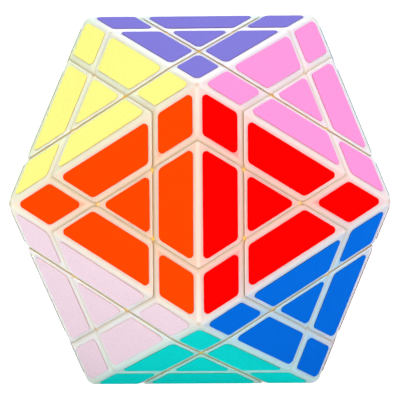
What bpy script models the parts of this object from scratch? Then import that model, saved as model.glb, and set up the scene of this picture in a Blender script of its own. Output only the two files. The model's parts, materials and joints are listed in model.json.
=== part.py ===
"""Icosahedron twisty puzzle: twenty triangular faces, and a layer that turns about each of twelve vertices.

Run it with  blender --background --python part.py  or from Blender's text editor.

Sizes are in metres and +Z is up. The puzzle rests on one of its faces, and the origin is the middle of that
face. Seen along +Y, the front edge stands between two tall faces. Each triangle has three cuts parallel to
its sides, so 12 vertex pieces, 30 edge pieces and 20 face pieces surround a core with twelve arms.

Every piece is designed round the centre of the core, with its own outward direction as local +Z. The cuts of
the layers bound it. Near the surface a cut is a plane square to its layer's axis, below that it is a cone
about the axis, and lowest it is a wider cone. The wider cone gives the edge and face pieces a foot that hooks
under their neighbours, so the screwed vertex pieces hold the whole puzzle together.
"""

import math

import bmesh
import bpy
from mathutils import Matrix, Vector

# Driving dimensions
EDGE = 0.050  # side of each triangular face
CUT_SHARE = 0.226  # distance of a cut from its side of the face, as a share of the face's height
CUT_GAP = 0.0003  # running gap between neighbouring pieces at the cut planes
CONE_GAP = 0.0005  # the same below them, where flat facets stand in for round walls
HOOK_GAP = 0.0006  # gap between a foot and the piece that it hooks under

# Levels of the mechanism, as distances from the centre of the core
CONE_TOP = 0.0370  # a cut is a plane above this and a cone below it
VERTEX_CONE_TOP = 0.0372  # the same on a vertex piece, whose long flat facets need more room
HOOK = 0.0240  # middle of the gap above the feet
FOOT_BOTTOM = 0.0184
STEM_BOTTOM = 0.0179
ARM_END = 0.0170
FOOT_CONE = math.radians(50)  # half angle of the cut cone beside the feet
NECK_LAP = 0.0008  # how far a neck reaches into its head and its foot
NECK_INSET = 0.00005  # keeps a neck's walls off the walls that it runs along

# Core, screws and springs
BALL_RADIUS = 0.0110
ARM_RADIUS = 0.0042
SCREW_RADIUS = 0.0015
SCREW_TIP = 0.0120
SCREW_HEAD_RADIUS = 0.0029
SCREW_HEAD_BOTTOM = 0.0322
SCREW_HEAD_TOP = 0.0343
SCREW_HOLE_RADIUS = 0.0019
SPRING_SEAT = 0.0252
SPRING_TOP = 0.0316
SPRING_RADIUS = 0.0027  # to the middle of the wire
SPRING_WIRE = 0.00045  # radius of the wire
SPRING_TURNS = 3
SPRING_WELL_RADIUS = 0.0036
HEAD_ROOM = 0.0012  # space above the screw's head

# The joined base piece
WEB_RADIUS = 0.0043
WEB_BOTTOM = 0.0315
WEB_TOP = 0.0345

# Tessellation
ARC_STEPS = 2  # segments along each side of a piece below the cut planes
TURNED_STEPS = 10  # segments round a screw, an arm or a bore
COIL_STEPS = 6  # segments in each turn of a spring
SMOOTH_ANGLE = math.radians(30)  # edges that turn less than this are shaded smooth

# Regular icosahedron
GOLDEN = (1 + math.sqrt(5)) / 2
INRADIUS = EDGE * GOLDEN**2 / (2 * math.sqrt(3))  # centre to a face
MIDRADIUS = EDGE * GOLDEN / 2  # centre to an edge
CIRCUMRADIUS = EDGE * math.sqrt(GOLDEN * math.sqrt(5)) / 2  # centre to a vertex
VERTEX_ANGLE = math.atan(2)  # between neighbouring vertices, seen from the centre
RIM_ANGLE = math.acos(INRADIUS / CIRCUMRADIUS)  # between a face's middle and its vertices
RIDGE_ANGLE = math.acos(INRADIUS / MIDRADIUS)  # between a face's middle and its edges' middles
CUT_PLANE = CIRCUMRADIUS * (1 - (1 - CUT_SHARE) * (1 - math.cos(VERTEX_ANGLE)))
MIDDLE_CONE = math.acos(CUT_PLANE / CONE_TOP)
CENTRE = Vector((0, 0, INRADIUS))
UP = Vector((0, 0, 1))
RIGHT = Vector((1, 0, 0))

# The vertices stand in four rings of three: the ring's height above the centre, its radius, and the azimuth
# of each vertex in degrees.
RINGS = (
    (INRADIUS, EDGE / math.sqrt(3), {"top_front": -90, "top_right": 30, "top_left": 150}),
    (INRADIUS / GOLDEN**3, EDGE * GOLDEN / math.sqrt(3), {"left": 210, "right": -30, "back": 90}),
    (-INRADIUS / GOLDEN**3, EDGE * GOLDEN / math.sqrt(3), {"front": -90, "rear_right": 30, "rear_left": 150}),
    (-INRADIUS, EDGE / math.sqrt(3), {"base_left": 210, "base_right": -30, "base_back": 90}),
)

# A face is known by the colour of its stickers, and found by its three vertices.
FACES = {
    "violet": ("top_front", "top_right", "top_left"),
    "yellow": ("top_front", "top_left", "left"),
    "pink": ("top_front", "top_right", "right"),
    "orange": ("top_front", "front", "left"),
    "red": ("top_front", "front", "right"),
    "blush": ("front", "left", "base_left"),
    "blue": ("front", "right", "base_right"),
    "turquoise": ("front", "base_left", "base_right"),
    "green": ("top_left", "top_right", "back"),
    "lime": ("top_left", "left", "rear_left"),
    "sky": ("top_right", "right", "rear_right"),
    "navy": ("top_left", "back", "rear_left"),
    "brown": ("top_right", "back", "rear_right"),
    "grey": ("left", "base_left", "rear_left"),
    "maroon": ("right", "base_right", "rear_right"),
    "peach": ("back", "rear_left", "base_back"),
    "magenta": ("back", "rear_right", "base_back"),
    "olive": ("rear_left", "base_left", "base_back"),
    "forest": ("rear_right", "base_right", "base_back"),
    "black": ("base_left", "base_right", "base_back"),
}
BASE_FACE = "black"


def clear_scene():
    for item in list(bpy.data.objects):
        bpy.data.objects.remove(item)


def plastic(name, colour, roughness):
    material = bpy.data.materials.new(name)
    material.use_nodes = True
    shader = material.node_tree.nodes["Principled BSDF"]
    shader.inputs["Base Color"].default_value = (*colour, 1)
    shader.inputs["Roughness"].default_value = roughness
    shader.inputs["Metallic"].default_value = 0
    return material


def polar(angle, azimuth):
    """The direction at this angle from +Z, at this azimuth."""
    across = math.sin(angle)
    return Vector((across * math.cos(azimuth), across * math.sin(azimuth), math.cos(angle)))


class Side:
    """One cut beside a piece: its layer's axis, and whether the piece belongs to that layer."""

    def __init__(self, axis, inside):
        self.axis = axis
        self.inside = inside
        # A layer that the piece belongs to ends on the far side of the piece.
        self.azimuth = math.atan2(axis.y, axis.x) + (math.pi if inside else 0)

    def plane(self):
        """Distance of the piece's cut plane from the centre."""
        return CUT_PLANE + (CUT_GAP / 2 if self.inside else -CUT_GAP / 2)

    def cone(self, radius, half_angle, inset=0):
        """Half angle of the piece's cone at this radius, after its share of the gap is taken off."""
        share = (CONE_GAP / 2 + inset) / radius
        return half_angle - share if self.inside else half_angle + share


def three_planes(normals, offsets):
    """The point where three planes meet."""
    a, b, c = normals
    p, q, r = offsets
    return (p * b.cross(c) + q * c.cross(a) + r * a.cross(b)) / a.dot(b.cross(c))


def corner(first, second, first_angle, second_angle):
    """The direction, out of two, where the cones of neighbouring sides cross on the piece's own side."""
    a, b = first.axis, second.axis
    cosine = a.dot(b)
    p, q = math.cos(first_angle), math.cos(second_angle)
    flat = (a * (p - q * cosine) + b * (q - p * cosine)) / (1 - cosine**2)
    across = a.cross(b).normalized() * math.sqrt(1 - flat.length_squared)
    return max((flat + across, flat - across), key=UP.dot)


def arc(pole, start, end):
    """Directions along a cone about the pole, from start up to the one before end."""
    x = (start - pole * start.dot(pole)).normalized()
    y = pole.cross(x)
    sweep = math.atan2(end.dot(y), end.dot(x))
    tilt = math.acos(start.dot(pole))
    turns = [sweep * step / ARC_STEPS for step in range(ARC_STEPS)]
    return [pole * math.cos(tilt) + (x * math.cos(t) + y * math.sin(t)) * math.sin(tilt) for t in turns]


def ring(sides, radius, angles):
    """Points on a sphere, round a piece that these cones about its sides' axes bound."""
    count = len(sides)
    corners = [corner(sides[i - 1], sides[i], angles[i - 1], angles[i]) for i in range(count)]
    points = []
    for i in range(count):
        points += arc(sides[i].axis, corners[i], corners[(i + 1) % count])
    return [point * radius for point in points]


def cone_ring(sides, radius, own_cone, other_cone, inset=0):
    angles = [side.cone(radius, own_cone if side.inside else other_cone, inset) for side in sides]
    return ring(sides, radius, angles)


def add_wall(mesh, lower, upper):
    for i in range(len(lower)):
        mesh.faces.new((lower[i - 1], lower[i], upper[i], upper[i - 1]))


def add_dome(mesh, loop):
    """Closes a loop on a sphere with an inner ring and a pole on the same sphere."""
    radius = loop[0].co.length
    inner = [mesh.verts.new((vert.co.normalized() + UP).normalized() * radius) for vert in loop]
    add_wall(mesh, loop, inner)
    pole = mesh.verts.new(UP * radius)
    for i in range(len(inner)):
        mesh.faces.new((inner[i - 1], inner[i], pole))


def as_object(mesh, name):
    bmesh.ops.recalc_face_normals(mesh, faces=mesh.faces)
    data = bpy.data.meshes.new(name)
    mesh.to_mesh(data)
    mesh.free()
    made = bpy.data.objects.new(name, data)
    bpy.context.scene.collection.objects.link(made)
    return made


def prism(name, lower_ring, upper_ring):
    """A solid between two rings on spheres round the centre."""
    mesh = bmesh.new()
    lower = [mesh.verts.new(point) for point in lower_ring]
    upper = [mesh.verts.new(point) for point in upper_ring]
    add_wall(mesh, lower, upper)
    add_dome(mesh, lower)
    add_dome(mesh, upper)
    return as_object(mesh, name)


def rim_of(sides, normals):
    """For each side, the points of its cut plane on the puzzle's surface, with the faces that they lie on."""

    def crossing(first, second):
        planes = (first.plane(), second.plane(), INRADIUS)
        found = [(three_planes((first.axis, second.axis, n), planes), i) for i, n in enumerate(normals)]
        return min(found, key=lambda item: item[0].length)

    rims = []
    for i, side in enumerate(sides):
        start = crossing(sides[i - 1], side)
        end = crossing(side, sides[(i + 1) % len(sides)])
        points = [start, end]
        if start[1] != end[1]:
            faces = (side.axis, normals[start[1]], normals[end[1]])
            points.insert(1, (three_planes(faces, (side.plane(), INRADIUS, INRADIUS)), None))
        rims.append(points)
    return rims


def head(name, sides, normals, cone_top):
    """The part of a piece above the hooks, with the puzzle's faces on top and the cuts round it."""
    mesh = bmesh.new()
    top_angles = [math.acos(side.plane() / cone_top) for side in sides]
    upper = [mesh.verts.new(point) for point in ring(sides, cone_top, top_angles)]
    low_ring = cone_ring(sides, HOOK + HOOK_GAP / 2, MIDDLE_CONE, MIDDLE_CONE)
    lower = [mesh.verts.new(point) for point in low_ring]
    add_wall(mesh, lower, upper)
    add_dome(mesh, lower)

    rims = rim_of(sides, normals)
    starts = [mesh.verts.new(rim[0][0]) for rim in rims]
    on_face = {i: [] for i in range(len(normals))}
    for i, rim in enumerate(rims):
        end = starts[(i + 1) % len(starts)]
        middle = [mesh.verts.new(rim[1][0])] if len(rim) == 3 else []
        top = [starts[i], *middle, end]
        last = (i + 1) * ARC_STEPS
        arc_verts = [upper[j % len(upper)] for j in range(i * ARC_STEPS, last + 1)]
        mesh.faces.new(top + arc_verts[::-1])
        on_face[rim[0][1]] += [starts[i], *middle]
        if middle:
            on_face[rim[-1][1]].insert(0, middle[0])
    apex = [mesh.verts.new(UP * CIRCUMRADIUS)] if len(normals) > 2 else []
    for face in on_face.values():
        mesh.faces.new(in_order(face + apex))
    return as_object(mesh, name)


def in_order(verts):
    """The corners of a convex polygon, once each, in order round its middle."""
    corners = list(dict.fromkeys(verts))
    middle = sum((vert.co for vert in corners), Vector()) / len(corners)
    x = (corners[0].co - middle).normalized()
    y = middle.normalized().cross(x)
    return sorted(corners, key=lambda v: math.atan2((v.co - middle).dot(y), (v.co - middle).dot(x)))


def turned(name, *profile):
    """A solid of revolution about +Z, from (radius, height) points that run from its foot to its top."""
    mesh = bmesh.new()
    loops = []
    for radius, height in profile:
        turns = [math.tau * i / TURNED_STEPS for i in range(TURNED_STEPS)]
        loops.append([mesh.verts.new((radius * math.cos(t), radius * math.sin(t), height)) for t in turns])
    for lower, upper in zip(loops, loops[1:]):
        add_wall(mesh, lower, upper)
    mesh.faces.new(loops[0])
    mesh.faces.new(loops[-1])
    return as_object(mesh, name)


def combined(name, base, others, operation="UNION"):
    """The mesh of a base with the others joined to it or cut from it. It uses up all the objects."""
    for other in others:
        modifier = base.modifiers.new(other.name, "BOOLEAN")
        modifier.operation = operation
        modifier.object = other
    graph = bpy.context.evaluated_depsgraph_get()
    mesh = bpy.data.meshes.new_from_object(base.evaluated_get(graph))
    mesh.name = name
    mesh.shade_smooth()
    mesh.set_sharp_from_angle(angle=SMOOTH_ANGLE)
    for item in (base, *others):
        bpy.data.objects.remove(item)
    return mesh


def from_mesh(mesh):
    made = bpy.data.objects.new(mesh.name, mesh)
    bpy.context.scene.collection.objects.link(made)
    return made


def piece_mesh(name, axes, normals, foot_bottom=FOOT_BOTTOM, cone_top=CONE_TOP):
    """A whole piece: its head, its foot, and the neck that joins them.

    axes holds (direction, whether the piece belongs to that layer) for the layers whose cuts bound it.
    """
    sides = sorted((Side(axis, inside) for axis, inside in axes), key=lambda side: side.azimuth % math.tau)
    foot_top = HOOK - HOOK_GAP / 2
    neck_low, neck_high = foot_top - NECK_LAP, HOOK + HOOK_GAP / 2 + NECK_LAP
    neck = prism(
        name + "_neck",
        cone_ring(sides, neck_low, MIDDLE_CONE, FOOT_CONE, NECK_INSET),
        cone_ring(sides, neck_high, MIDDLE_CONE, FOOT_CONE, NECK_INSET),
    )
    foot = prism(
        name + "_foot",
        cone_ring(sides, foot_bottom, FOOT_CONE, FOOT_CONE),
        cone_ring(sides, foot_top, FOOT_CONE, FOOT_CONE),
    )
    return combined(name, head(name, sides, normals, cone_top), [foot, neck])


def spring():
    """A coil round the screw, standing a little way into the floor of its well."""
    mesh = bmesh.new()
    count = round(SPRING_TURNS * COIL_STEPS) + 1
    foot = SPRING_SEAT - SPRING_WIRE / 3
    square = [(SPRING_WIRE, 0), (0, SPRING_WIRE), (-SPRING_WIRE, 0), (0, -SPRING_WIRE)]
    loops = []
    for i in range(count):
        turn = math.tau * i / COIL_STEPS
        rise = foot + (SPRING_TOP - foot) * i / (count - 1)
        out = Vector((math.cos(turn), math.sin(turn), 0))
        centre = out * SPRING_RADIUS + UP * rise
        loops.append([mesh.verts.new(centre + out * x + UP * y) for x, y in square])
    for lower, upper in zip(loops, loops[1:]):
        add_wall(mesh, lower, upper)
    mesh.faces.new(loops[0])
    mesh.faces.new(loops[-1])
    return as_object(mesh, "spring")


def vertex_mesh():
    """A vertex piece: five layers cut round it, and its stem is bored for the screw and the spring."""
    step = math.tau / 5
    axes = [(polar(VERTEX_ANGLE, i * step), False) for i in range(5)]
    normals = [polar(RIM_ANGLE, (i + 0.5) * step) for i in range(5)]
    solid = from_mesh(piece_mesh("vertex", axes, normals, STEM_BOTTOM, VERTEX_CONE_TOP))
    well = turned(
        "well",
        (SCREW_HOLE_RADIUS, ARM_END),
        (SCREW_HOLE_RADIUS, SPRING_SEAT),
        (SPRING_WELL_RADIUS, SPRING_SEAT),
        (SPRING_WELL_RADIUS, SCREW_HEAD_TOP + HEAD_ROOM),
        (SCREW_HOLE_RADIUS, SCREW_HEAD_TOP + 2 * HEAD_ROOM),
    )
    bored = from_mesh(combined("vertex", solid, [well], "DIFFERENCE"))
    return combined("vertex_piece", bored, [spring()])


def edge_mesh():
    """An edge piece: it belongs to the layers at its two ends, and lies between the two beside it."""
    half = VERTEX_ANGLE / 2
    beside = RIDGE_ANGLE + RIM_ANGLE
    axes = [(polar(half, 0), True), (polar(half, math.pi), True)]
    axes += [(polar(beside, math.pi / 2), False), (polar(beside, -math.pi / 2), False)]
    normals = [polar(RIDGE_ANGLE, math.pi / 2), polar(RIDGE_ANGLE, -math.pi / 2)]
    return piece_mesh("edge_piece", axes, normals)


def face_mesh():
    """A face piece: it belongs to the layers of all three vertices round it."""
    axes = [(polar(RIM_ANGLE, math.tau * i / 3), True) for i in range(3)]
    return piece_mesh("face_piece", axes, [UP])


def core_mesh(directions):
    """The ball, its twelve arms, and the screw that stands in each arm."""
    mesh = bmesh.new()
    bmesh.ops.create_icosphere(mesh, subdivisions=2, radius=BALL_RADIUS)
    ball = as_object(mesh, "ball")
    added = []
    for direction in directions:
        arm = turned("arm", (ARM_RADIUS, BALL_RADIUS / 2), (ARM_RADIUS, ARM_END))
        screw = turned(
            "screw",
            (SCREW_RADIUS, SCREW_TIP),
            (SCREW_RADIUS, SCREW_HEAD_BOTTOM),
            (SCREW_HEAD_RADIUS, SCREW_HEAD_BOTTOM),
            (SCREW_HEAD_RADIUS, SCREW_HEAD_TOP),
        )
        for item in (arm, screw):
            item.rotation_mode = "QUATERNION"
            item.rotation_quaternion = direction.to_track_quat("Z", "Y")
            added.append(item)
    return combined("core_and_screws", ball, added)


def place(name, mesh, material, outward=UP, sideways=RIGHT):
    """Stands a piece round the core, with its local +Z outward and its local +X towards sideways."""
    z = outward.normalized()
    x = (sideways - z * sideways.dot(z)).normalized()
    made = bpy.data.objects.new(name, mesh)
    bpy.context.scene.collection.objects.link(made)
    if not mesh.materials:
        mesh.materials.append(material)
    made.matrix_world = Matrix.Translation(CENTRE) @ Matrix((x, z.cross(x), z)).transposed().to_4x4()
    return made


def base_mesh(face, edges):
    """The resting face's own piece, joined through its middle to the three edge pieces round it."""
    web = turned("web", (WEB_RADIUS, WEB_BOTTOM), (WEB_RADIUS, WEB_TOP))
    web.matrix_world = face.matrix_world.copy()
    return combined("base_group", web, [face, *edges])


def main():
    clear_scene()
    white = plastic("milk_white_plastic", (0.93, 0.90, 0.84), 0.35)
    grey = plastic("core_plastic", (0.30, 0.31, 0.33), 0.5)

    vertices = {}
    for height, radius, azimuths in RINGS:
        for name, azimuth in azimuths.items():
            turn = math.radians(azimuth)
            vertices[name] = Vector((radius * math.cos(turn), radius * math.sin(turn), height))

    place("core_and_screws", core_mesh([point.normalized() for point in vertices.values()]), grey)

    mesh = vertex_mesh()
    for name, point in vertices.items():
        neighbour = min((p for p in vertices.values() if p != point), key=lambda p: (p - point).length)
        place("vertex_" + name, mesh, white, point, neighbour)

    edges = {}
    for colour, corners in FACES.items():
        for i in range(3):
            edges.setdefault(frozenset((corners[i - 1], corners[i])), []).append(colour)
    mesh = edge_mesh()
    base_edges = []
    for ends, colours in edges.items():
        start, end = (vertices[name] for name in sorted(ends))
        made = place("edge_" + "_".join(colours), mesh, white, start + end, start)
        if BASE_FACE in colours:
            base_edges.append(made)

    mesh = face_mesh()
    for colour, corners in FACES.items():
        points = [vertices[name] for name in corners]
        made = place("face_" + colour, mesh, white, sum(points, Vector()), points[0])
        if colour == BASE_FACE:
            place("base_group_" + colour, base_mesh(made, base_edges), white, sum(points, Vector()), points[0])


main()
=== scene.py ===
"""Looks of the icosahedron twisty puzzle: its moulded pieces, its stickers and the mechanism inside.

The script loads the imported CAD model, works out the icosahedron from it, and builds every piece again with
its fillets. Each kind of piece is made once, with its outward direction as +Z, then copied and turned to its
places. Each piece rides on the body of the CAD node that it replaces. Sizes are in metres.
"""

import itertools
import json
import math
import random

import bmesh
import bpy
from mathutils import Matrix, Vector

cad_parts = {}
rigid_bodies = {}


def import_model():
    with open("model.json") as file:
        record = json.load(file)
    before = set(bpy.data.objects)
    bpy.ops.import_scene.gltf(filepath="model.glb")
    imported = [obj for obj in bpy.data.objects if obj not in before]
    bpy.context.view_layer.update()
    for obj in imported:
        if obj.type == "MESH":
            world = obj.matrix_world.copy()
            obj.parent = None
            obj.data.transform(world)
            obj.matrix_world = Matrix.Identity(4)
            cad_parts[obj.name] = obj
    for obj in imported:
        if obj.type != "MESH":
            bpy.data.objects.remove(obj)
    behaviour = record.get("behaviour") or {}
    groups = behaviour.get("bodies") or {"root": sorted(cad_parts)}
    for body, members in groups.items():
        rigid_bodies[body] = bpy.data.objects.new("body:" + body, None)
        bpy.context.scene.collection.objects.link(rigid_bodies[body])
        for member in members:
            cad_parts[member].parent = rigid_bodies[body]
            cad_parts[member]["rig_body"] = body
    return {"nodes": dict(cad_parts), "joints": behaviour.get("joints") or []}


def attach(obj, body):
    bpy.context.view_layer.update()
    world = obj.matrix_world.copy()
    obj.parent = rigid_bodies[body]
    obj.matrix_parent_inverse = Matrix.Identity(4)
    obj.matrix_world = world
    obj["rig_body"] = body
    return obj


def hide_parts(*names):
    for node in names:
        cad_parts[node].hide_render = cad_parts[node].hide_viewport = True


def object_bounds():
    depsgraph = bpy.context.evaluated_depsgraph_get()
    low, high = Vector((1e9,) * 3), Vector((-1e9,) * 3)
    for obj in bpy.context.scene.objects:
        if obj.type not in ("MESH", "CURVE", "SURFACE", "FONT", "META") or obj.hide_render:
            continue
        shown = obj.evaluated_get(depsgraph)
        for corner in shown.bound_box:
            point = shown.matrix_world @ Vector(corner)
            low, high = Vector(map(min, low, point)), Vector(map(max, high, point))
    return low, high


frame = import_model()
CAD_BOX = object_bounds()

# The puzzle, from the frame
CENTRE = Vector(frame["joints"][0]["pos_m"])
GOLDEN = (1 + math.sqrt(5)) / 2
INRADIUS = CENTRE.z  # centre to a face
EDGE = INRADIUS * 2 * math.sqrt(3) / GOLDEN**2  # side of each triangular face
FACE_HEIGHT = EDGE * math.sqrt(3) / 2
MIDRADIUS = EDGE * GOLDEN / 2  # centre to an edge
CIRCUMRADIUS = EDGE * math.sqrt(GOLDEN * math.sqrt(5)) / 2  # centre to a vertex
VERTEX_ANGLE = math.atan(2)  # between neighbouring vertices, seen from the centre
RIM_ANGLE = math.acos(INRADIUS / CIRCUMRADIUS)  # between a face's middle and its vertices
RIDGE_ANGLE = math.acos(INRADIUS / MIDRADIUS)  # between a face's middle and its edges' middles
BASE_FACE = "black"
BASE_NODE = "base_group_" + BASE_FACE
CORE_NODE = "core_and_screws"

# The cuts: each is a plane near the surface, a cone below it, and a wider cone beside the feet
CUT_SHARE = 0.226  # distance of a cut from its side of the face, as a share of the face's height
CUT_GAP = 0.00009
SHELF_GAP = 0.00003  # between neighbours, below the shelf that closes each cut from view
SHELF_DEPTH = 0.0007  # of that shelf, below the faces
CONE_GAP = 0.0005
HOOK_GAP = 0.0006
CUT_PLANE = CIRCUMRADIUS * (1 - (1 - CUT_SHARE) * (1 - math.cos(VERTEX_ANGLE)))
CONE_TOP = 0.0370
HOOK = 0.0240
FOOT_BOTTOM = 0.0184
STEM_BOTTOM = 0.0179
MIDDLE_CONE = math.acos(CUT_PLANE / CONE_TOP)
FOOT_CONE = math.radians(50)
NECK_LAP = 0.0008
NECK_INSET = 0.00005
ARC_STEPS = 8
DOME_STEPS = 3

# Fillets, as their reach from the sharp edge
SLOPE_FILLET = 0.00100  # where a cut leaves the face at a blunt angle
NOSE_FILLET = 0.00060  # where a cut leaves the face at a sharp angle
RIDGE_FILLET = 0.00062  # between two faces of the puzzle
CORNER_FILLET = 0.00045  # between two cuts
FILLET_STEPS = 6
FILLET_PROFILE = 0.42  # a little flatter than round
SMOOTH_ANGLE = math.radians(32)

# Stickers
STICKER_MARGIN = 0.00106  # from the sides of the face and the cuts
END_MARGIN = 0.00122  # at the slanted ends of the trapezoids
SHARP_CORNER = 0.00085  # radius of a sticker's corners of 60 degrees
BLUNT_CORNER = 0.00130  # radius of a sticker's corners of 120 degrees
STICKER_THICKNESS = 0.00014
STICKER_EDGE = 0.00003  # rounding of a sticker's upper edge
STICKER_LIFT = 0.00001  # keeps a sticker off the plastic
RIM_SHADE = Vector((0.80, 0.50, 0.35))  # of the sticker's colour, on its cut rim, as painted shade
RIM_TILT = math.radians(60)  # a sticker's polygon that tilts more than this is part of its rim
CORNER_STEPS = 8
MISPLACED = 0.00006  # how far a sticker may sit from its right place
MISTURNED = math.radians(0.4)
STICKER_SEED = 20

# Mechanism
ARM_END = 0.0170
ARM_CHAMFER = 0.0003
BALL_RADIUS = 0.0110
ARM_RADIUS = 0.0042
SCREW_TIP = 0.0120
SCREW_RADIUS = 0.0015
SCREW_PITCH = 0.0008
THREAD_DEPTH = SCREW_PITCH / 3
BARE_TURNS = 2  # of the pitch, between the thread and the spring's seat
THREAD_FIT = 0.99  # of the bore's radius, so that the thread stays clear of it
SCREW_HEAD_RADIUS = 0.0029
SCREW_HEAD_BOTTOM = 0.0322
SCREW_HEAD_TOP = 0.0343
SCREW_HEAD_STEPS = 5
SCREW_HEAD_FLAT = 0.6  # of the head's radius, inside its rounded edge
SCREW_HEAD_SIDE = 0.5  # of the head's height, below its rounded edge
SCREW_HEAD_TIP = 0.5  # of the head's radius, where its top is level
RECESS_WIDTH = 0.0008  # of the cross in a screw's head
RECESS_LENGTH = 0.0030
RECESS_DEPTH = 0.0012
SCREW_HOLE_RADIUS = 0.0019
SPRING_SEAT = 0.0252
SPRING_TOP = 0.0316
SPRING_RADIUS = 0.0027
SPRING_WIRE = 0.00035
SPRING_TURNS = 4
SPRING_WELL_RADIUS = 0.0036
WASHER_THICKNESS = 0.0004
HEAD_ROOM = 0.0012
TURNED_STEPS = 32

# Plastic, in linear RGB: its own colour, and painted shade and painted light in its grooves and beside the
# stickers
SKIN_COLOUR = Vector((0.82, 0.87, 0.78))
# Painted shade: the plastic darkens to this beige on the slopes of the cuts, where the grooves are shaded
SLOPE_SHADE_COLOUR = Vector((0.58, 0.47, 0.25))
# Painted shade at the bottom of the grooves, warmed golden by painted light that comes through the plastic
DEEP_SHADE_COLOUR = Vector((0.95, 0.58, 0.08))
DEEP_SHADE_SHARE = 0.6  # how far the bottom of the grooves has turned to the deep colour of painted shade
SLOPE_TOP = 0.00012  # depth below the faces where the plastic starts to take the slopes' painted shade
SLOPE_BOTTOM = 0.0005  # depth where it has the slopes' painted shade in full
GROOVE_TOP = 0.0005  # depth where the walls of the grooves start to take a painted glow
GROOVE_BOTTOM = 1.05 * SHELF_DEPTH  # just below the shelf
GROOVE_GLOW = (0.44, 0.27, 0.0)  # painted glow, as emission, that stands in for light coming through the plastic into the grooves
STICKER_LIGHT_SHARE = 0.60  # of a sticker's colour that the plastic beside it takes on, as painted light that the sticker throws into it
STICKER_LIGHT_REACH = 0.0012  # distance from the sticker over which the share of that painted light falls to a third
PLASTIC_ROUGHNESS = 0.38
PLASTIC_SPECULAR = 0.3
PLASTIC_GRAIN = 9000  # cycles per metre, like the other grains
SCATTER_WEIGHT = 0.8
SCATTER_RADIUS = (1.0, 0.88, 0.66)
SCATTER_SCALE = 0.0012
FINE_BUMP = 0.00001  # height of the bump in moulded plastic and vinyl

# The other materials, in linear RGB
VINYL_ROUGHNESS = 0.55
VINYL_SPECULAR = 0.01
VINYL_GRAIN = 4500
VINYL_VARIATION = 0.08  # of the colour, to either side
VINYL_RANGE = (0.3, 0.7)  # of the noise, over which the colour varies
CORE_DARK = (0.26, 0.27, 0.29)
CORE_LIGHT = (0.32, 0.33, 0.35)
CORE_ROUGHNESS = 0.5
CORE_GRAIN = 5000
SCREW_COLOUR = Vector((0.42, 0.43, 0.46))
SCREW_ROUGHNESS = 0.32
SPRING_COLOUR = Vector((0.60, 0.60, 0.58))
SPRING_ROUGHNESS = 0.25
STEEL_GRAIN = 3000
STEEL_DETAIL = 6
STEEL_SHADE = 0.85  # of the steel's colour, in its darker spots

# Stage, lights and camera
STAGE_RADIUS = 3
STAGE_ALBEDO = 0.7
STAGE_ROUGHNESS = 0.9
BACKDROP_GLOW = 1.2  # shows as plain white
LIGHT_DISTANCE = 0.8
LIGHT_SIZE = 0.5
WORLD_STRENGTH = 0.02
LIGHTS = [  # name, azimuth and elevation in degrees, and power in watts
    ("front", 0, 17, 3.1),
    ("high_left", -30, 35, 1.0),
    ("left", -60, 25, 1.3),
    ("right", 60, 25, 1.0),
    ("high_right", 60, 50, 1.8),
    ("high_back", 180, 50, 5.2),
    ("back_left", -110, 20, 0.6),
    ("back_right", 110, 20, 0.9),
]
CAMERA_AZIMUTH = 1.200  # the angles are in degrees
CAMERA_ELEVATION = 22.255
CAMERA_ROLL = -0.865
CAMERA_DISTANCE = 12.877 * EDGE
CAMERA_LENS = 264.38
SENSOR_WIDTH = 36
CLIP_END = 20
CAMERA_SHIFT = (-0.0044, 0.0)

UP = Vector((0, 0, 1))

# Sticker colours, in sRGB from 0 to 255
STICKER_COLOURS = {
    "violet": (121, 115, 204),
    "yellow": (250, 249, 138),
    "pink": (248, 146, 211),
    "orange": (255, 68, 0),
    "red": (250, 0, 0),
    "blush": (242, 217, 230),
    "blue": (0, 108, 224),
    "turquoise": (0, 234, 228),
    "green": (0, 160, 75),
    "lime": (158, 222, 66),
    "sky": (120, 196, 244),
    "navy": (24, 44, 132),
    "brown": (122, 72, 40),
    "grey": (140, 143, 148),
    "maroon": (122, 18, 42),
    "peach": (255, 190, 140),
    "magenta": (214, 30, 140),
    "olive": (122, 126, 40),
    "forest": (16, 84, 50),
    "black": (28, 28, 32),
}


def linear(channel):
    """An sRGB channel from 0 to 255, as a linear value."""
    share = channel / 255
    return share / 12.92 if share <= 0.04045 else ((share + 0.055) / 1.055) ** 2.4


COLOURS = {name: Vector([linear(c) for c in rgb]) for name, rgb in STICKER_COLOURS.items()}
# The light that a sticker throws into the plastic round it, painted into the plastic's colour, is paler than
# the sticker
PASTELS = {name: Vector([math.sqrt(c / max(colour)) for c in colour]) for name, colour in COLOURS.items()}


# ---------------------------------------------------------------- the puzzle's vertices, faces and edges


def points_of(node):
    """A CAD node's points, from the centre of the core."""
    return [vert.co - CENTRE for vert in frame["nodes"][node].data.vertices]


VERTICES = {
    node.removeprefix("vertex_"): max(points_of(node), key=lambda p: p.length)
    for node in sorted(frame["nodes"])
    if node.startswith("vertex_")
}


def adjacent(first, second):
    """Whether an edge joins two vertices. The next distance between vertices is GOLDEN times as long."""
    return (VERTICES[first] - VERTICES[second]).length < EDGE * math.sqrt(GOLDEN)


def find_faces():
    """The three vertices of each face, by the colour in its CAD node's name."""
    triples = [
        names
        for names in itertools.combinations(VERTICES, 3)
        if all(adjacent(a, b) for a, b in itertools.combinations(names, 2))
    ]
    middles = {names: sum((VERTICES[name] for name in names), Vector()) / 3 for names in triples}
    found = {}
    for node in sorted(frame["nodes"]):
        if node.startswith("face_"):
            middle = sum(points_of(node), Vector())
            found[node.removeprefix("face_")] = max(triples, key=lambda names: middles[names].dot(middle))
    found[BASE_FACE] = min(triples, key=lambda names: middles[names].z)
    return found


FACES = find_faces()
NORMALS = {
    colour: sum((VERTICES[name] for name in names), Vector()).normalized()
    for colour, names in FACES.items()
}


def find_edges():
    """The two colours beside each edge, by the two vertices at its ends."""
    found = {}
    for colour, names in FACES.items():
        for ends in itertools.combinations(names, 2):
            found.setdefault(frozenset(ends), []).append(colour)
    return found


EDGES = find_edges()


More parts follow.
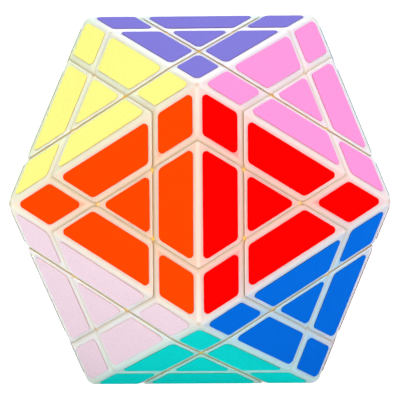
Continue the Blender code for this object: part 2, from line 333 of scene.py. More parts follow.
def edge_node(colours):
    """The CAD node of the edge piece between two colours."""
    for pair in itertools.permutations(colours):
        if "edge_" + "_".join(pair) in frame["nodes"]:
            return "edge_" + "_".join(pair)
    return BASE_NODE


def face_node(colour):
    return BASE_NODE if colour == BASE_FACE else "face_" + colour


# ---------------------------------------------------------------- where the stickers lie

NEAR = STICKER_MARGIN / FACE_HEIGHT  # from a side of the face, as a share of its height
BEFORE_CUT = CUT_SHARE - NEAR
AFTER_CUT = CUT_SHARE + NEAR
AFTER_END = CUT_SHARE + END_MARGIN / FACE_HEIGHT


def outline(colour, shares):
    """Corners of a sticker on a face, anticlockwise from outside, from their shares of named vertices."""
    corners = []
    for named in shares:
        rest = 1 - sum(named.values())
        weights = [named.get(name, rest) for name in FACES[colour]]
        corners.append(sum((VERTICES[name] * w for name, w in zip(FACES[colour], weights)), Vector()))
    turn = (corners[1] - corners[0]).cross(corners[2] - corners[1])
    return corners if turn.dot(NORMALS[colour]) > 0 else corners[::-1]


def rhombus(colour, at):
    """The sticker that a face has on the vertex piece at one of its corners."""
    left, right = (name for name in FACES[colour] if name != at)
    steps = [(NEAR, NEAR), (BEFORE_CUT, NEAR), (BEFORE_CUT, BEFORE_CUT), (NEAR, BEFORE_CUT)]
    return outline(colour, [{left: a, right: b} for a, b in steps])


def trapezoid(colour, ends):
    """The sticker that a face has on the edge piece between two of its corners."""
    left, right = sorted(ends)
    across = next(name for name in FACES[colour] if name not in ends)
    steps = [(left, NEAR), (right, NEAR), (right, BEFORE_CUT), (left, BEFORE_CUT)]
    return outline(colour, [{across: away, end: AFTER_END} for end, away in steps])


def triangle(colour):
    """The sticker in the middle of a face."""
    pairs = itertools.combinations(FACES[colour], 2)
    return outline(colour, [dict.fromkeys(pair, AFTER_CUT) for pair in pairs])


# ---------------------------------------------------------------- building pieces


def polar(angle, azimuth):
    """The direction at this angle from +Z, at this azimuth."""
    across = math.sin(angle)
    return Vector((across * math.cos(azimuth), across * math.sin(azimuth), math.cos(angle)))


class Side:
    """One cut beside a piece: its layer's axis, and whether the piece belongs to that layer."""

    def __init__(self, axis, inside):
        self.axis = axis
        self.inside = inside
        # A layer that the piece belongs to ends on the far side of the piece.
        self.azimuth = math.atan2(axis.y, axis.x) + (math.pi if inside else 0)

    def plane(self, gap):
        """Distance of the piece's cut plane from the centre."""
        return CUT_PLANE + (gap / 2 if self.inside else -gap / 2)

    def cone(self, radius, half_angle, inset=0):
        """Half angle of the piece's cone at this radius, after its share of the gap is taken off."""
        share = (CONE_GAP / 2 + inset) / radius
        return half_angle - share if self.inside else half_angle + share


def three_planes(normals, offsets):
    """The point where three planes meet."""
    a, b, c = normals
    p, q, r = offsets
    return (p * b.cross(c) + q * c.cross(a) + r * a.cross(b)) / a.dot(b.cross(c))


def corner(first, second, first_angle, second_angle):
    """The direction, out of two, where the cones of neighbouring sides cross on the piece's own side."""
    a, b = first.axis, second.axis
    cosine = a.dot(b)
    p, q = math.cos(first_angle), math.cos(second_angle)
    flat = (a * (p - q * cosine) + b * (q - p * cosine)) / (1 - cosine**2)
    across = a.cross(b).normalized() * math.sqrt(1 - flat.length_squared)
    return max((flat + across, flat - across), key=UP.dot)


def arc(pole, start, end):
    """Directions along a cone about the pole, from start up to the one before end."""
    x = (start - pole * start.dot(pole)).normalized()
    y = pole.cross(x)
    sweep = math.atan2(end.dot(y), end.dot(x))
    tilt = math.acos(start.dot(pole))
    turns = [sweep * step / ARC_STEPS for step in range(ARC_STEPS)]
    return [pole * math.cos(tilt) + (x * math.cos(t) + y * math.sin(t)) * math.sin(tilt) for t in turns]


def ring(sides, radius, angles):
    """Points on a sphere, round a piece that these cones about its sides' axes bound."""
    count = len(sides)
    corners = [corner(sides[i - 1], sides[i], angles[i - 1], angles[i]) for i in range(count)]
    points = []
    for i in range(count):
        points += arc(sides[i].axis, corners[i], corners[(i + 1) % count])
    return [point * radius for point in points]


def cone_ring(sides, radius, own_cone, other_cone, inset=0):
    angles = [side.cone(radius, own_cone if side.inside else other_cone, inset) for side in sides]
    return ring(sides, radius, angles)


def add_loop(mesh, points):
    return [mesh.verts.new(point) for point in points]


def add_wall(mesh, lower, upper, closed=True):
    for i in range(0 if closed else 1, len(lower)):
        mesh.faces.new((lower[i - 1], lower[i], upper[i], upper[i - 1]))


def add_dome(mesh, loop):
    """Closes a loop on a sphere with inner rings and a pole on the same sphere."""
    radius = loop[0].co.length
    outer = loop
    for step in range(1, DOME_STEPS):
        inner = add_loop(mesh, [vert.co.normalized().slerp(UP, step / DOME_STEPS) * radius for vert in loop])
        add_wall(mesh, outer, inner)
        outer = inner
    pole = mesh.verts.new(UP * radius)
    for i in range(len(outer)):
        mesh.faces.new((outer[i - 1], outer[i], pole))


def as_data(mesh, name):
    bmesh.ops.recalc_face_normals(mesh, faces=mesh.faces)
    data = bpy.data.meshes.new(name)
    mesh.to_mesh(data)
    mesh.free()
    return data


def new_object(name, data):
    made = bpy.data.objects.new(name, data)
    bpy.context.scene.collection.objects.link(made)
    return made


def as_object(mesh, name):
    return new_object(name, as_data(mesh, name))


def prism(name, lower_ring, upper_ring):
    """A solid between two rings on spheres round the centre."""
    mesh = bmesh.new()
    lower = add_loop(mesh, lower_ring)
    upper = add_loop(mesh, upper_ring)
    add_wall(mesh, lower, upper)
    add_dome(mesh, lower)
    add_dome(mesh, upper)
    return as_object(mesh, name)


def rim_of(sides, normals, depth, gap):
    """For each side, the points where its cut meets a level below the faces, each with its face's index."""

    def crossing(first, second):
        planes = (first.plane(gap), second.plane(gap), INRADIUS - depth)
        found = [(three_planes((first.axis, second.axis, n), planes), i) for i, n in enumerate(normals)]
        return min(found, key=lambda item: item[0].length)

    rims = []
    for i, side in enumerate(sides):
        start = crossing(sides[i - 1], side)
        end = crossing(side, sides[(i + 1) % len(sides)])
        points = [start]
        if start[1] != end[1]:
            planes = (side.axis, normals[start[1]], normals[end[1]])
            offsets = (side.plane(gap), INRADIUS - depth, INRADIUS - depth)
            points.append((three_planes(planes, offsets), end[1]))
        rims.append(points)
    return rims


def in_order(verts):
    """The corners of a convex polygon, once each, in order round its middle."""
    corners = list(dict.fromkeys(verts))
    middle = sum((vert.co for vert in corners), Vector()) / len(corners)
    x = (corners[0].co - middle).normalized()
    y = middle.normalized().cross(x)
    return sorted(corners, key=lambda v: math.atan2((v.co - middle).dot(y), (v.co - middle).dot(x)))


FACE = "face"


def fillet(first, second):
    """Reach of the fillet between two surfaces of a head: each is FACE, a Side, or None below the cuts."""
    if first is None or second is None:
        return 0
    if first == FACE and second == FACE:
        return RIDGE_FILLET
    if first is second:
        return 0
    if FACE in (first, second):
        side = second if first == FACE else first
        return NOSE_FILLET if side.inside else SLOPE_FILLET
    return CORNER_FILLET


def head(name, sides, normals):
    """The part of a piece above the hooks: the puzzle's faces on top and the cuts round it, all filleted."""
    mesh = bmesh.new()
    top_angles = [math.acos(side.plane(SHELF_GAP) / CONE_TOP) for side in sides]
    upper = add_loop(mesh, ring(sides, CONE_TOP, top_angles))
    lower = add_loop(mesh, cone_ring(sides, HOOK + HOOK_GAP / 2, MIDDLE_CONE, MIDDLE_CONE))
    add_wall(mesh, lower, upper)
    add_dome(mesh, lower)

    levels = [(0, CUT_GAP), (SHELF_DEPTH, CUT_GAP), (SHELF_DEPTH, SHELF_GAP)]
    rims = [rim_of(sides, normals, depth, gap) for depth, gap in levels]
    rows = [[add_loop(mesh, [point for point, _ in points]) for points in rim] for rim in rims]
    surfaces = {}
    on_face = {i: [] for i in range(len(normals))}
    for i, side in enumerate(sides):
        after = (i + 1) % len(sides)
        top, middle, bottom = ([*row[i], row[after][0]] for row in rows)
        surfaces[mesh.faces.new(top + middle[::-1])] = side
        add_wall(mesh, middle, bottom, closed=False)
        arc_verts = [upper[j % len(upper)] for j in range(i * ARC_STEPS, (i + 1) * ARC_STEPS + 1)]
        mesh.faces.new(bottom + arc_verts[::-1])
        for vert, (_, face) in zip(rows[0][i], rims[0][i]):
            on_face[face].append(vert)
        if len(top) == 3:
            on_face[rims[0][i][0][1]].append(top[1])
    apex = [mesh.verts.new(UP * CIRCUMRADIUS)] if len(normals) > 2 else []
    for corners in on_face.values():
        surfaces[mesh.faces.new(in_order(corners + apex))] = FACE

    weight = mesh.edges.layers.float.new("bevel_weight_edge")
    for edge in mesh.edges:
        first, second = (surfaces.get(face) for face in edge.link_faces)
        edge[weight] = fillet(first, second) / SLOPE_FILLET
    made = as_object(mesh, name)
    bevel = made.modifiers.new("fillets", "BEVEL")
    bevel.limit_method = "WEIGHT"
    bevel.width = SLOPE_FILLET
    bevel.segments = FILLET_STEPS
    bevel.profile = FILLET_PROFILE
    bevel.use_clamp_overlap = False
    return made


def turned(name, *profile, steps=TURNED_STEPS):
    """A solid of revolution about +Z, from (radius, height) points that run from its foot to its top."""
    mesh = bmesh.new()
    turns = [math.tau * i / steps for i in range(steps)]
    loops = [
        add_loop(mesh, [(radius * math.cos(t), radius * math.sin(t), height) for t in turns])
        for radius, height in profile
    ]
    for lower, upper in zip(loops, loops[1:]):
        add_wall(mesh, lower, upper)
    mesh.faces.new(loops[0])
    mesh.faces.new(loops[-1])
    return as_object(mesh, name)


def finished(mesh):
    mesh.shade_smooth()
    mesh.set_sharp_from_angle(angle=SMOOTH_ANGLE)
    return mesh


def combined(name, base, others, operation="UNION"):
    """The mesh of a base with the others joined to it or cut from it. It uses up all the objects."""
    for other in others:
        modifier = base.modifiers.new(other.name, "BOOLEAN")
        modifier.operation = operation
        modifier.object = other
    graph = bpy.context.evaluated_depsgraph_get()
    mesh = bpy.data.meshes.new_from_object(base.evaluated_get(graph))
    mesh.name = name
    for item in (base, *others):
        bpy.data.objects.remove(item)
    return finished(mesh)


def piece_mesh(name, axes, normals, foot_bottom=FOOT_BOTTOM):
    """A whole piece: its head, its foot, and the neck that joins them.

    axes holds (direction, whether the piece belongs to that layer) for the layers whose cuts bound it.
    """
    sides = sorted((Side(axis, inside) for axis, inside in axes), key=lambda side: side.azimuth % math.tau)
    foot_top = HOOK - HOOK_GAP / 2
    neck_low, neck_high = foot_top - NECK_LAP, HOOK + HOOK_GAP / 2 + NECK_LAP
    neck = prism(
        name + "_neck",
        cone_ring(sides, neck_low, MIDDLE_CONE, FOOT_CONE, NECK_INSET),
        cone_ring(sides, neck_high, MIDDLE_CONE, FOOT_CONE, NECK_INSET),
    )
    foot = prism(
        name + "_foot",
        cone_ring(sides, foot_bottom, FOOT_CONE, FOOT_CONE),
        cone_ring(sides, foot_top, FOOT_CONE, FOOT_CONE),
    )
    return combined(name, head(name, sides, normals), [foot, neck])


def vertex_mesh():
    """A vertex piece: five layers cut round it, and its stem is bored for the screw and the spring."""
    step = math.tau / 5
    axes = [(polar(VERTEX_ANGLE, i * step), False) for i in range(5)]
    normals = [polar(RIM_ANGLE, (i + 0.5) * step) for i in range(5)]
    solid = new_object("vertex", piece_mesh("vertex", axes, normals, STEM_BOTTOM))
    well = turned(
        "well",
        (SCREW_HOLE_RADIUS, ARM_END),
        (SCREW_HOLE_RADIUS, SPRING_SEAT),
        (SPRING_WELL_RADIUS, SPRING_SEAT),
        (SPRING_WELL_RADIUS, SCREW_HEAD_TOP + HEAD_ROOM),
        (SCREW_HOLE_RADIUS, SCREW_HEAD_TOP + 2 * HEAD_ROOM),
    )
    return combined("vertex_piece", solid, [well], "DIFFERENCE")


def edge_mesh():
    """An edge piece: it belongs to the layers at its two ends, and lies between the two beside it."""
    beside = RIDGE_ANGLE + RIM_ANGLE
    axes = [(polar(VERTEX_ANGLE / 2, 0), True), (polar(VERTEX_ANGLE / 2, math.pi), True)]
    axes += [(polar(beside, math.pi / 2), False), (polar(beside, -math.pi / 2), False)]
    normals = [polar(RIDGE_ANGLE, math.pi / 2), polar(RIDGE_ANGLE, -math.pi / 2)]
    return piece_mesh("edge_piece", axes, normals)


def face_mesh():
    """A face piece: it belongs to the layers of all three vertices round it."""
    axes = [(polar(RIM_ANGLE, math.tau * i / 3), True) for i in range(3)]
    return piece_mesh("face_piece", axes, [UP])


# ---------------------------------------------------------------- materials


def new_material(name, roughness):
    """A Principled material, with its node tree and its shader."""
    material = bpy.data.materials.new(name)
    material.use_nodes = True
    tree = material.node_tree
    shader = tree.nodes["Principled BSDF"]
    shader.inputs["Roughness"].default_value = roughness
    return material, tree, shader


def add_node(tree, kind, **values):
    """A node, with its properties and the values of its inputs set by name."""
    node = tree.nodes.new(kind)
    for name, value in values.items():
        if hasattr(node, name):
            setattr(node, name, value)
        else:
            node.inputs[name.replace("_", " ")].default_value = value
    return node


def noise(tree, scale, detail=2.0):
    """Noise in the piece's own coordinates, in cycles per metre."""
    where = add_node(tree, "ShaderNodeTexCoord")
    made = add_node(tree, "ShaderNodeTexNoise", Scale=scale, Detail=detail)
    tree.links.new(where.outputs["Object"], made.inputs["Vector"])
    return made.outputs["Fac"]


def add_bump(tree, shader, height, distance):
    bump = add_node(tree, "ShaderNodeBump", Distance=distance)
    tree.links.new(height, bump.inputs["Height"])
    tree.links.new(bump.outputs["Normal"], shader.inputs["Normal"])


def add_ramp(tree, factor, dark, light):
    """A colour ramp between two colours."""
    ramp = add_node(tree, "ShaderNodeValToRGB")
    ramp.color_ramp.elements[0].color = (*dark, 1)
    ramp.color_ramp.elements[1].color = (*light, 1)
    tree.links.new(factor, ramp.inputs["Fac"])
    return ramp


def milky_plastic():
    """Moulded plastic that lets light through; its grooves glow with painted light, as emission. Each piece's
    colour, with painted shade and painted light, is in its mesh.
    """
    material, tree, shader = new_material("milky_plastic", PLASTIC_ROUGHNESS)
    tint_with_painted_light = add_node(tree, "ShaderNodeVertexColor", layer_name="tint_with_painted_light")
    tree.links.new(tint_with_painted_light.outputs["Color"], shader.inputs["Base Color"])
    shader.inputs["Subsurface Weight"].default_value = SCATTER_WEIGHT
    shader.inputs["Subsurface Radius"].default_value = SCATTER_RADIUS
    shader.inputs["Subsurface Scale"].default_value = SCATTER_SCALE
    shader.inputs["Specular IOR Level"].default_value = PLASTIC_SPECULAR
    # Painted glow: the grooves give off light, as emission
    glow = add_node(tree, "ShaderNodeAttribute", attribute_name="painted_groove_glow")
    tree.links.new(glow.outputs["Fac"], shader.inputs["Emission Strength"])
    shader.inputs["Emission Color"].default_value = (*GROOVE_GLOW, 1)
    add_bump(tree, shader, noise(tree, PLASTIC_GRAIN), FINE_BUMP)
    return material


def sticker_vinyl(name, colour):
    """Satin vinyl with a fine grain, and painted shade that darkens its cut rim."""
    material, tree, shader = new_material("sticker_" + name, VINYL_ROUGHNESS)
    grain = noise(tree, VINYL_GRAIN)
    ramp = add_ramp(tree, grain, colour * (1 - VINYL_VARIATION), colour * (1 + VINYL_VARIATION))
    ramp.color_ramp.elements[0].position, ramp.color_ramp.elements[1].position = VINYL_RANGE
    # Painted shade on the rim's polygons
    rim = add_node(tree, "ShaderNodeAttribute", attribute_name="rim")
    shaded = add_node(tree, "ShaderNodeMix", data_type="RGBA")
    tree.links.new(rim.outputs["Fac"], shaded.inputs["Factor"])
    # The Mix node has one set of A, B and Result sockets for each kind of data: these are the colour ones.
    first, second, result = shaded.inputs[6], shaded.inputs[7], shaded.outputs[2]
    tree.links.new(ramp.outputs["Color"], first)
    second.default_value = (*(colour * RIM_SHADE), 1)
    tree.links.new(result, shader.inputs["Base Color"])
    shader.inputs["Specular IOR Level"].default_value = VINYL_SPECULAR
    add_bump(tree, shader, grain, FINE_BUMP)
    return material


def steel(name, colour, roughness):
    material, tree, shader = new_material(name, roughness)
    ramp = add_ramp(tree, noise(tree, STEEL_GRAIN, STEEL_DETAIL), colour * STEEL_SHADE, colour)
    tree.links.new(ramp.outputs["Color"], shader.inputs["Base Color"])
    shader.inputs["Metallic"].default_value = 1.0
    return material


def core_plastic():
    material, tree, shader = new_material("core_plastic", CORE_ROUGHNESS)
    grain = noise(tree, CORE_GRAIN)
    ramp = add_ramp(tree, grain, CORE_DARK, CORE_LIGHT)
    tree.links.new(ramp.outputs["Color"], shader.inputs["Base Color"])
    add_bump(tree, shader, grain, 2 * FINE_BUMP)
    return material


# ---------------------------------------------------------------- placing pieces


def frame_of(outward, sideways):
    """Rotation that takes local +Z outward and local +X towards sideways."""
    z = outward.normalized()
    x = (sideways - z * sideways.dot(z)).normalized()
    return Matrix((x, z.cross(x), z)).transposed().to_4x4()


def mix(first, second, share):
    return first.lerp(second, min(max(share, 0), 1))


def distance_outside(point, corners, normal):
    """Distance from a point to a convex polygon, about right near its corners."""
    depth = (corners[0] - point).dot(normal)
    ends = zip(corners, corners[1:] + corners[:1])
    aside = max((end - start).cross(normal).normalized().dot(point - start) for start, end in ends)
    return math.hypot(max(aside, 0), depth)


def depth_of(point, stickers):
    """Depth of a point from the centre, below the faces that carry these stickers."""
    return min(INRADIUS - point.dot(NORMALS[colour]) for colour, _ in stickers)


def plastic_colour(point, stickers):
    """Colour of the plastic at a point from the centre, on a piece that carries these stickers, with painted
    shade in its grooves and painted light from the stickers beside it.
    """
    depth = depth_of(point, stickers)
    skin = SKIN_COLOUR
    # Painted shade: deeper in the grooves, the plastic turns beige and then golden brown
    if depth < GROOVE_BOTTOM:
        skin = mix(skin, SLOPE_SHADE_COLOUR, (depth - SLOPE_TOP) / (SLOPE_BOTTOM - SLOPE_TOP))
        skin = mix(skin, DEEP_SHADE_COLOUR, DEEP_SHADE_SHARE * (depth - SLOPE_BOTTOM) / (GROOVE_BOTTOM - SLOPE_BOTTOM))
    # Painted light: the plastic near a sticker takes on the paler light that the sticker throws into it
    reach = {
        colour: math.exp(-distance_outside(point, corners, NORMALS[colour]) / STICKER_LIGHT_REACH)
        for colour, corners in stickers
    }
    tint_with_painted_light = sum((PASTELS[colour] * share for colour, share in reach.items()), Vector((0, 0, 0)))
    return mix(skin, tint_with_painted_light / sum(reach.values()), STICKER_LIGHT_SHARE * max(reach.values()))


def paint(mesh, stickers):
    """Stores a piece's plastic colour, with its painted shade and painted light, in its mesh, and which of
    its polygons lie in the grooves and take a painted glow.
    """
    tint_with_painted_light = mesh.color_attributes.new("tint_with_painted_light", "FLOAT_COLOR", "POINT")
    for vert, value in zip(mesh.vertices, tint_with_painted_light.data):
        value.color = (*plastic_colour(vert.co - CENTRE, stickers), 1)
    painted_groove_glow = mesh.attributes.new("painted_groove_glow", "FLOAT", "FACE")
    depths = [depth_of(vert.co - CENTRE, stickers) for vert in mesh.vertices]
    for face, value in zip(mesh.polygons, painted_groove_glow.data):
        inside = all(GROOVE_TOP < depths[i] < GROOVE_BOTTOM for i in face.vertices)
        value.value = 1 if inside else 0


def stand_for(piece, node):
    """The piece rides on the body of a CAD node and is shown in its place."""
    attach(piece, frame["nodes"][node]["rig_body"])
    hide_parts(node)


def add_piece(name, prototype, material, node, outward, sideways, stickers):
    mesh = prototype.copy()
    mesh.name = name
    mesh.transform(Matrix.Translation(CENTRE) @ frame_of(outward, sideways))
    paint(mesh, stickers)
    mesh.materials.append(material)
    made = new_object(name, mesh)
    made.modifiers.new("flat_faces", "WEIGHTED_NORMAL").keep_sharp = True
    stand_for(made, node)


def build_shell():
    """The 62 moulded pieces that make the surface."""
    material = milky_plastic()
    prototype = vertex_mesh()
    for name, point in VERTICES.items():
        neighbour = next(VERTICES[other] for other in VERTICES if other != name and adjacent(name, other))
        stickers = [(colour, rhombus(colour, name)) for colour, names in FACES.items() if name in names]
        add_piece("corner_" + name, prototype, material, "vertex_" + name, point, neighbour, stickers)
    prototype = edge_mesh()
    for ends, colours in EDGES.items():
        start, end = (VERTICES[name] for name in sorted(ends))
        stickers = [(colour, trapezoid(colour, ends)) for colour in colours]
        name = "side_" + "_".join(colours)
        add_piece(name, prototype, material, edge_node(colours), start + end, start, stickers)
    prototype = face_mesh()
    for colour, names in FACES.items():
        stickers = [(colour, triangle(colour))]
        name = "middle_" + colour
        add_piece(name, prototype, material, face_node(colour), NORMALS[colour], VERTICES[names[0]], stickers)


# ---------------------------------------------------------------- stickers


def rounded(corners):
    """A convex polygon in the XY plane with its corners rounded."""
    points = []
    for i, here in enumerate(corners):
        back = (corners[i - 1] - here).normalized()
        ahead = (corners[(i + 1) % len(corners)] - here).normalized()
        half = back.angle(ahead) / 2
        radius = SHARP_CORNER if half < math.pi / 4 else BLUNT_CORNER
        middle = here + (back + ahead).normalized() * radius / math.sin(half)
        start = (back * radius / math.tan(half) + here - middle).normalized()
        end = (ahead * radius / math.tan(half) + here - middle).normalized()
        shares = [step / CORNER_STEPS for step in range(CORNER_STEPS + 1)]
        points += [middle + start.slerp(end, share) * radius for share in shares]
    return points


def sticker_mesh(name, corners):
    """A thin plate with rounded corners, whose underside lies in the XY plane."""
    mesh = bmesh.new()
    outer = rounded(corners)
    middle = sum(outer, Vector()) / len(outer)
    inner = [point + (middle - point).normalized() * STICKER_EDGE for point in outer]
    loops = [
        add_loop(mesh, outer),
        add_loop(mesh, [point + UP * (STICKER_THICKNESS - STICKER_EDGE) for point in outer]),
        add_loop(mesh, [point + UP * STICKER_THICKNESS for point in inner]),
    ]
    add_wall(mesh, loops[0], loops[1])
    add_wall(mesh, loops[1], loops[2])
    mesh.faces.new(loops[0])
    mesh.faces.new(loops[2])
    data = as_data(mesh, name)
    # Marks the rim's polygons, which take painted shade in the vinyl
    rim = data.attributes.new("rim", "FLOAT", "FACE")
    for face, value in zip(data.polygons, rim.data):
        upright = abs(face.normal.z) < math.cos(RIM_TILT)
        value.value = 1 if upright else 0
    return finished(data)


def add_sticker(name, colour, corners, node, material, luck):
    middle = sum(corners, Vector()) / len(corners)
    rotation = frame_of(NORMALS[colour], corners[0] - middle)
    mesh = sticker_mesh(name, [rotation.inverted() @ (point - middle) for point in corners])
    mesh.materials.append(material)
    slip = Vector((luck.uniform(-1, 1), luck.uniform(-1, 1), 0)) * MISPLACED
    turn = Matrix.Rotation(luck.uniform(-1, 1) * MISTURNED, 4, "Z")
    lift = Matrix.Translation(slip + UP * STICKER_LIFT)
    mesh.transform(Matrix.Translation(CENTRE + middle) @ rotation @ lift @ turn)
    made = new_object(name, mesh)
    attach(made, frame["nodes"][node]["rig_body"])


def build_stickers():
    """Seven stickers on each face: a rhombus at each corner, a trapezoid at each side, and a triangle."""
    luck = random.Random(STICKER_SEED)
    for colour, names in FACES.items():
        material = sticker_vinyl(colour, COLOURS[colour])
        for at in names:
            name = f"sticker_{colour}_at_{at}"
            add_sticker(name, colour, rhombus(colour, at), "vertex_" + at, material, luck)
        for ends in itertools.combinations(names, 2):
            beside = EDGES[frozenset(ends)]
            other = next(item for item in beside if item != colour)
            name = f"sticker_{colour}_by_{other}"
            add_sticker(name, colour, trapezoid(colour, ends), edge_node(beside), material, luck)
        add_sticker(f"sticker_{colour}_middle", colour, triangle(colour), face_node(colour), material, luck)


# ---------------------------------------------------------------- core, screws, washers and springs


def pointed(made, direction):
    made.rotation_mode = "QUATERNION"
    made.rotation_quaternion = direction.to_track_quat("Z", "Y")
    return made


def core_mesh():
    """The ball and its twelve arms, each bored for its screw."""
    steps = [math.pi * step / TURNED_STEPS for step in range(1, TURNED_STEPS)]
    ball = turned("ball", *[(BALL_RADIUS * math.sin(t), -BALL_RADIUS * math.cos(t)) for t in steps])
    arms = []
    bores = []
    for point in VERTICES.values():
        profile = [(ARM_RADIUS, BALL_RADIUS / 2), (ARM_RADIUS, ARM_END - ARM_CHAMFER)]
        arm = turned("arm", *profile, (ARM_RADIUS - ARM_CHAMFER, ARM_END))
        arms.append(pointed(arm, point))
        bore = turned("bore", (SCREW_RADIUS, SCREW_TIP - SCREW_PITCH), (SCREW_RADIUS, ARM_END + ARM_CHAMFER))
        bores.append(pointed(bore, point))
    solid = new_object("core_and_arms", combined("core_and_arms", ball, arms))
    return combined("core", solid, bores, "DIFFERENCE")


def screw_mesh():
    """A pan-head screw with a thread below its bare shank and a cross in its head."""
    root = SCREW_RADIUS - THREAD_DEPTH
    profile = [(root / 2, SCREW_TIP), (root, SCREW_TIP + SCREW_PITCH)]
    turns = int((SPRING_SEAT - SCREW_TIP) / SCREW_PITCH) - BARE_TURNS
    for turn in range(turns):
        low = SCREW_TIP + SCREW_PITCH * (turn + 1)
        profile += [(SCREW_RADIUS * THREAD_FIT, low + SCREW_PITCH / 2), (root, low + SCREW_PITCH)]
    profile += [(root, SPRING_SEAT), (root, SCREW_HEAD_BOTTOM), (SCREW_HEAD_RADIUS, SCREW_HEAD_BOTTOM)]
    rise = SCREW_HEAD_TOP - SCREW_HEAD_BOTTOM
    for step in range(SCREW_HEAD_STEPS):
        turn = math.pi / 2 * step / SCREW_HEAD_STEPS
        width = SCREW_HEAD_FLAT + (1 - SCREW_HEAD_FLAT) * math.cos(turn)
        height = SCREW_HEAD_SIDE + (1 - SCREW_HEAD_SIDE) * math.sin(turn)
        profile.append((SCREW_HEAD_RADIUS * width, SCREW_HEAD_BOTTOM + rise * height))
    profile.append((SCREW_HEAD_RADIUS * SCREW_HEAD_TIP, SCREW_HEAD_TOP))
    body = turned("screw", *profile)
    slots = []
    for across in (True, False):
        slot = bmesh.new()
        bmesh.ops.create_cube(slot, size=1)
        slots.append(as_object(slot, "slot"))
        wide, deep = (RECESS_LENGTH, RECESS_WIDTH) if across else (RECESS_WIDTH, RECESS_LENGTH)
        slots[-1].scale = (wide, deep, 2 * RECESS_DEPTH)
        slots[-1].location.z = SCREW_HEAD_TOP
    return combined("screw", body, slots, "DIFFERENCE")


def washer_mesh():
    disc = turned("washer", (SPRING_RADIUS, SPRING_TOP), (SPRING_RADIUS, SPRING_TOP + WASHER_THICKNESS))
    hole = turned("hole", (SCREW_HOLE_RADIUS, SPRING_SEAT), (SCREW_HOLE_RADIUS, SCREW_HEAD_TOP))
    return combined("washer", disc, [hole], "DIFFERENCE")


def spring_mesh():
    """A coil of round wire from the bottom of the well to the washer."""
    curve = bpy.data.curves.new("spring", "CURVE")
    curve.dimensions = "3D"
    curve.bevel_depth = SPRING_WIRE
    curve.use_fill_caps = True
    spline = curve.splines.new("POLY")
    count = SPRING_TURNS * TURNED_STEPS
    spline.points.add(count)
    low = SPRING_SEAT + SPRING_WIRE
    high = SPRING_TOP - SPRING_WIRE
    for i, point in enumerate(spline.points):
        turn = math.tau * i / TURNED_STEPS
        middle = SPRING_RADIUS - SPRING_WIRE
        point.co = (middle * math.cos(turn), middle * math.sin(turn), low + (high - low) * i / count, 1)
    return combined("spring", new_object("coil", curve), [])


def build_mechanism():
    grey = core_plastic()
    screw_steel = steel("screw_steel", SCREW_COLOUR, SCREW_ROUGHNESS)
    spring_steel = steel("spring_steel", SPRING_COLOUR, SPRING_ROUGHNESS)
    core = core_mesh()
    core.transform(Matrix.Translation(CENTRE))
    core.materials.append(grey)
    stand_for(new_object("core", core), CORE_NODE)
    parts = [
        ("screw", screw_mesh(), screw_steel, "screw_steel"),
        ("washer", washer_mesh(), screw_steel, "screw_steel"),
        ("spring", spring_mesh(), spring_steel, "spring_steel"),
    ]
    for name, point in VERTICES.items():
        for kind, prototype, material, slot in parts:
            mesh = prototype.copy()
            mesh.name = kind + "_" + name
            mesh.transform(Matrix.Translation(CENTRE) @ point.to_track_quat("Z", "Y").to_matrix().to_4x4())
            mesh.materials.append(material)
            made = new_object(mesh.name, mesh)
            stand_for(made, CORE_NODE if kind == "screw" else "vertex_" + name)


# ---------------------------------------------------------------- stage


def add_stage(name, mesh, height):
    made = as_object(mesh, name)
    made.location.z = height
    material, _, shader = new_material(name, STAGE_ROUGHNESS)
    shader.inputs["Base Color"].default_value = (STAGE_ALBEDO, STAGE_ALBEDO, STAGE_ALBEDO, 1)
    made.data.materials.append(material)
    return made, shader


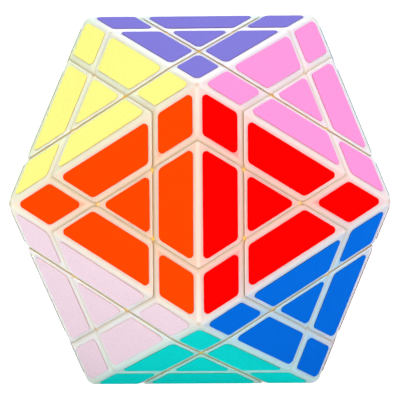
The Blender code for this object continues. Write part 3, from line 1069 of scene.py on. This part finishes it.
def build_stage():
    """A pale floor that only the light meets, and a white backdrop all round that only the camera sees."""
    mesh = bmesh.new()
    bmesh.ops.create_grid(mesh, x_segments=1, y_segments=1, size=STAGE_RADIUS)
    floor, _ = add_stage("floor", mesh, CAD_BOX[0][2] - STICKER_THICKNESS - 2 * STICKER_LIFT)
    floor.visible_camera = False
    mesh = bmesh.new()
    bmesh.ops.create_uvsphere(mesh, u_segments=32, v_segments=16, radius=STAGE_RADIUS)
    backdrop, shader = add_stage("backdrop", mesh, CENTRE.z)
    backdrop.visible_diffuse = backdrop.visible_glossy = backdrop.visible_shadow = False
    shader.inputs["Emission Color"].default_value = (1, 1, 1, 1)
    shader.inputs["Emission Strength"].default_value = BACKDROP_GLOW


def add_light(name, azimuth, elevation, power):
    """A soft white light that faces the puzzle. Azimuth 0 is at the front, and positive to the right."""
    data = bpy.data.lights.new(name, "AREA")
    data.shape = "DISK"
    data.size = LIGHT_SIZE
    data.energy = power
    made = new_object(name, data)
    turn, rise = math.radians(azimuth), math.radians(elevation)
    outward = Vector((math.sin(turn) * math.cos(rise), -math.cos(turn) * math.cos(rise), math.sin(rise)))
    made.location = CENTRE + outward * LIGHT_DISTANCE
    made.rotation_mode = "QUATERNION"
    made.rotation_quaternion = outward.to_track_quat("Z", "Y")


def build_lights():
    world = bpy.data.worlds.new("studio")
    bpy.context.scene.world = world
    world.use_nodes = True
    background = world.node_tree.nodes["Background"]
    background.inputs["Color"].default_value = (1, 1, 1, 1)
    background.inputs["Strength"].default_value = WORLD_STRENGTH
    for light in LIGHTS:
        add_light(*light)


def build_camera():
    data = bpy.data.cameras.new("camera")
    data.lens = CAMERA_LENS
    data.sensor_width = SENSOR_WIDTH
    data.shift_x, data.shift_y = CAMERA_SHIFT
    data.clip_end = CLIP_END
    made = new_object("camera", data)
    turn = Matrix.Rotation(math.radians(CAMERA_AZIMUTH), 4, "Z")
    tilt = Matrix.Rotation(math.radians(90 - CAMERA_ELEVATION), 4, "X")
    roll = Matrix.Rotation(math.radians(CAMERA_ROLL), 4, "Z")
    away = Matrix.Translation((0, 0, CAMERA_DISTANCE))
    made.matrix_world = Matrix.Translation(CENTRE) @ turn @ tilt @ away @ roll
    bpy.context.scene.camera = made


build_camera()
build_lights()
build_stage()
build_shell()
build_stickers()
build_mechanism()
bpy.context.scene.view_settings.view_transform = "Standard"
